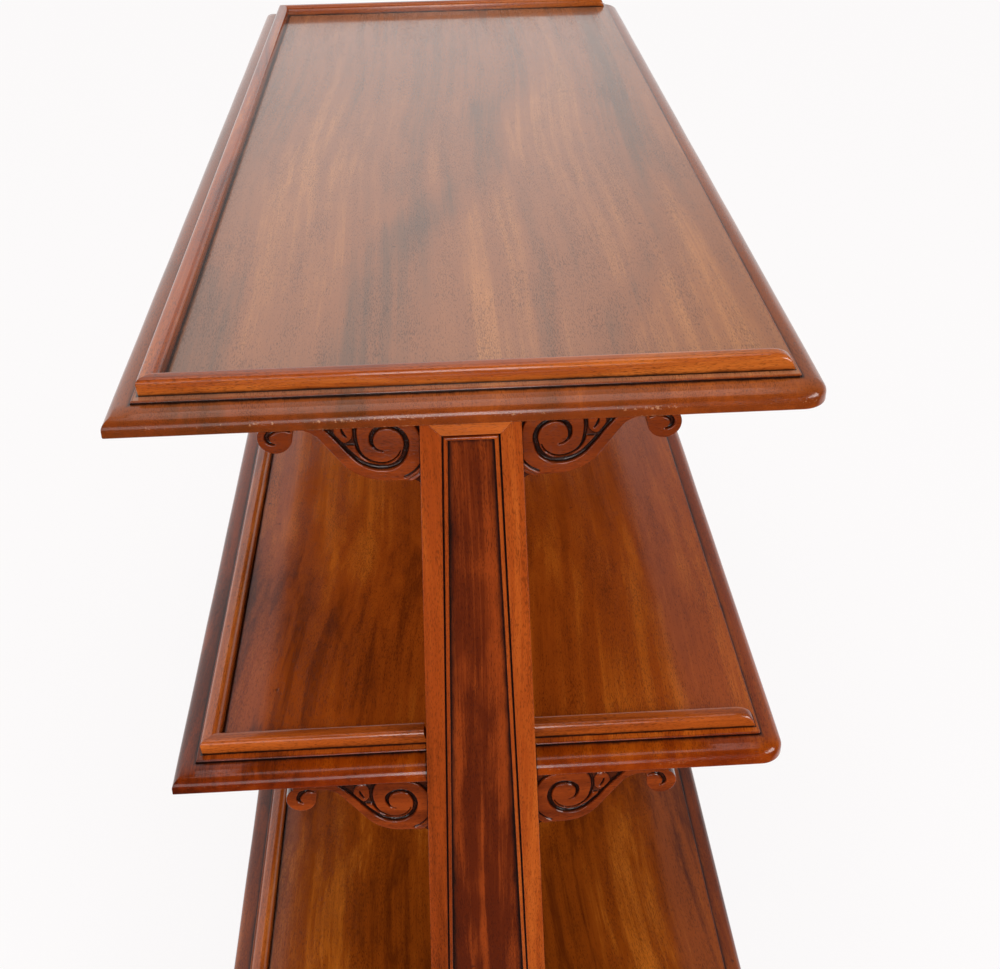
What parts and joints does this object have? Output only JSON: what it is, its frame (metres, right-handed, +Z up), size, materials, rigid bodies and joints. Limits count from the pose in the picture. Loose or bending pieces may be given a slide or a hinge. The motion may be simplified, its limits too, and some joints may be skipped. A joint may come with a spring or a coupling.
{
  "type": "tiered dumbwaiter",
  "caption": "Open serving stand with moulded, galleried tiers between panelled end standards with carved scroll brackets, on sledge feet with swivelling brass castors.",
  "frame": {"origin": "on the floor under the middle of the object", "axes": "X along the tiers with the left end at -X, Y across them with the open front at -Y, Z up"},
  "size_m": [1.25, 0.53, 0.9245],
  "materials": {
    "tier_mahogany": "glossy French polish over figured mahogany",
    "gallery_mahogany": "glossy French polish over straight-grained mahogany",
    "standard_mahogany": "glossy French polish over straight-grained mahogany",
    "panel_mahogany": "glossy French polish over dark figured mahogany",
    "carved_mahogany": "French polish, darker in the carving",
    "foot_mahogany": "glossy French polish",
    "castor_brass": "aged, lightly polished",
    "screw_brass": "aged",
    "dowel_beech": "unfinished",
    "block_pine": "unfinished, darkened with age"
  },
  "bodies": {
    "frame": {"top_tier_board": "tier_mahogany", "top_gallery_back": "gallery_mahogany", "top_gallery_left": "gallery_mahogany", "top_gallery_right": "gallery_mahogany", "middle_tier_board": "tier_mahogany", "middle_gallery_back": "gallery_mahogany", "middle_gallery_left_front": "gallery_mahogany", "middle_gallery_left_rear": "gallery_mahogany", "middle_gallery_right_front": "gallery_mahogany", "middle_gallery_right_rear": "gallery_mahogany", "bottom_tier_board": "tier_mahogany", "bottom_gallery_back": "gallery_mahogany", "bottom_gallery_left_front": "gallery_mahogany", "bottom_gallery_left_rear": "gallery_mahogany", "bottom_gallery_right_front": "gallery_mahogany", "bottom_gallery_right_rear": "gallery_mahogany", "left_standard_core": "standard_mahogany", "left_standard_top_rail": "standard_mahogany", "left_standard_bottom_rail": "standard_mahogany", "left_standard_front_stile": "standard_mahogany", "left_standard_rear_stile": "standard_mahogany", "left_standard_panel": "panel_mahogany", "left_standard_bead": "standard_mahogany", "right_standard_core": "standard_mahogany", "right_standard_top_rail": "standard_mahogany", "right_standard_bottom_rail": "standard_mahogany", "right_standard_front_stile": "standard_mahogany", "right_standard_rear_stile": "standard_mahogany", "right_standard_panel": "panel_mahogany", "right_standard_bead": "standard_mahogany", "top_bracket_left_front": "carved_mahogany", "top_bracket_left_rear": "carved_mahogany", "top_bracket_right_front": "carved_mahogany", "top_bracket_right_rear": "carved_mahogany", "middle_bracket_left_front": "carved_mahogany", "middle_bracket_left_rear": "carved_mahogany", "middle_bracket_right_front": "carved_mahogany", "middle_bracket_right_rear": "carved_mahogany", "left_foot": "foot_mahogany", "right_foot": "foot_mahogany", "left_front_castor_plate": "castor_brass", "left_rear_castor_plate": "castor_brass", "right_front_castor_plate": "castor_brass", "right_rear_castor_plate": "castor_brass", "castor_screws": "screw_brass", "bracket_dowels": "dowel_beech", "glue_blocks": "block_pine"},
    "left_front_fork": {"left_front_castor_fork": "castor_brass", "left_front_castor_axle": "castor_brass"},
    "left_front_wheel": {"left_front_castor_wheel": "castor_brass"},
    "left_rear_fork": {"left_rear_castor_fork": "castor_brass", "left_rear_castor_axle": "castor_brass"},
    "left_rear_wheel": {"left_rear_castor_wheel": "castor_brass"},
    "right_front_fork": {"right_front_castor_fork": "castor_brass", "right_front_castor_axle": "castor_brass"},
    "right_front_wheel": {"right_front_castor_wheel": "castor_brass"},
    "right_rear_fork": {"right_rear_castor_fork": "castor_brass", "right_rear_castor_axle": "castor_brass"},
    "right_rear_wheel": {"right_rear_castor_wheel": "castor_brass"}
  },
  "joints": [
    {"name": "left_front_castor_swivel", "type": "hinge", "parent": "frame", "child": "left_front_fork", "pos_m": [-0.5885, -0.193, 0.055], "axis": [0, 0, 1], "continuous": true},
    {"name": "left_front_wheel_roll", "type": "hinge", "parent": "left_front_fork", "child": "left_front_wheel", "pos_m": [-0.57931, -0.18381, 0.02], "axis": [-0.7071, 0.7071, 0], "continuous": true},
    {"name": "left_rear_castor_swivel", "type": "hinge", "parent": "frame", "child": "left_rear_fork", "pos_m": [-0.5885, 0.193, 0.055], "axis": [0, 0, 1], "continuous": true},
    {"name": "left_rear_wheel_roll", "type": "hinge", "parent": "left_rear_fork", "child": "left_rear_wheel", "pos_m": [-0.57931, 0.18381, 0.02], "axis": [0.7071, 0.7071, 0], "continuous": true},
    {"name": "right_front_castor_swivel", "type": "hinge", "parent": "frame", "child": "right_front_fork", "pos_m": [0.5885, -0.193, 0.055], "axis": [0, 0, 1], "continuous": true},
    {"name": "right_front_wheel_roll", "type": "hinge", "parent": "right_front_fork", "child": "right_front_wheel", "pos_m": [0.57931, -0.18381, 0.02], "axis": [-0.7071, -0.7071, 0], "continuous": true},
    {"name": "right_rear_castor_swivel", "type": "hinge", "parent": "frame", "child": "right_rear_fork", "pos_m": [0.5885, 0.193, 0.055], "axis": [0, 0, 1], "continuous": true},
    {"name": "right_rear_wheel_roll", "type": "hinge", "parent": "right_rear_fork", "child": "right_rear_wheel", "pos_m": [0.57931, 0.18381, 0.02], "axis": [0.7071, -0.7071, 0], "continuous": true}
  ]
}
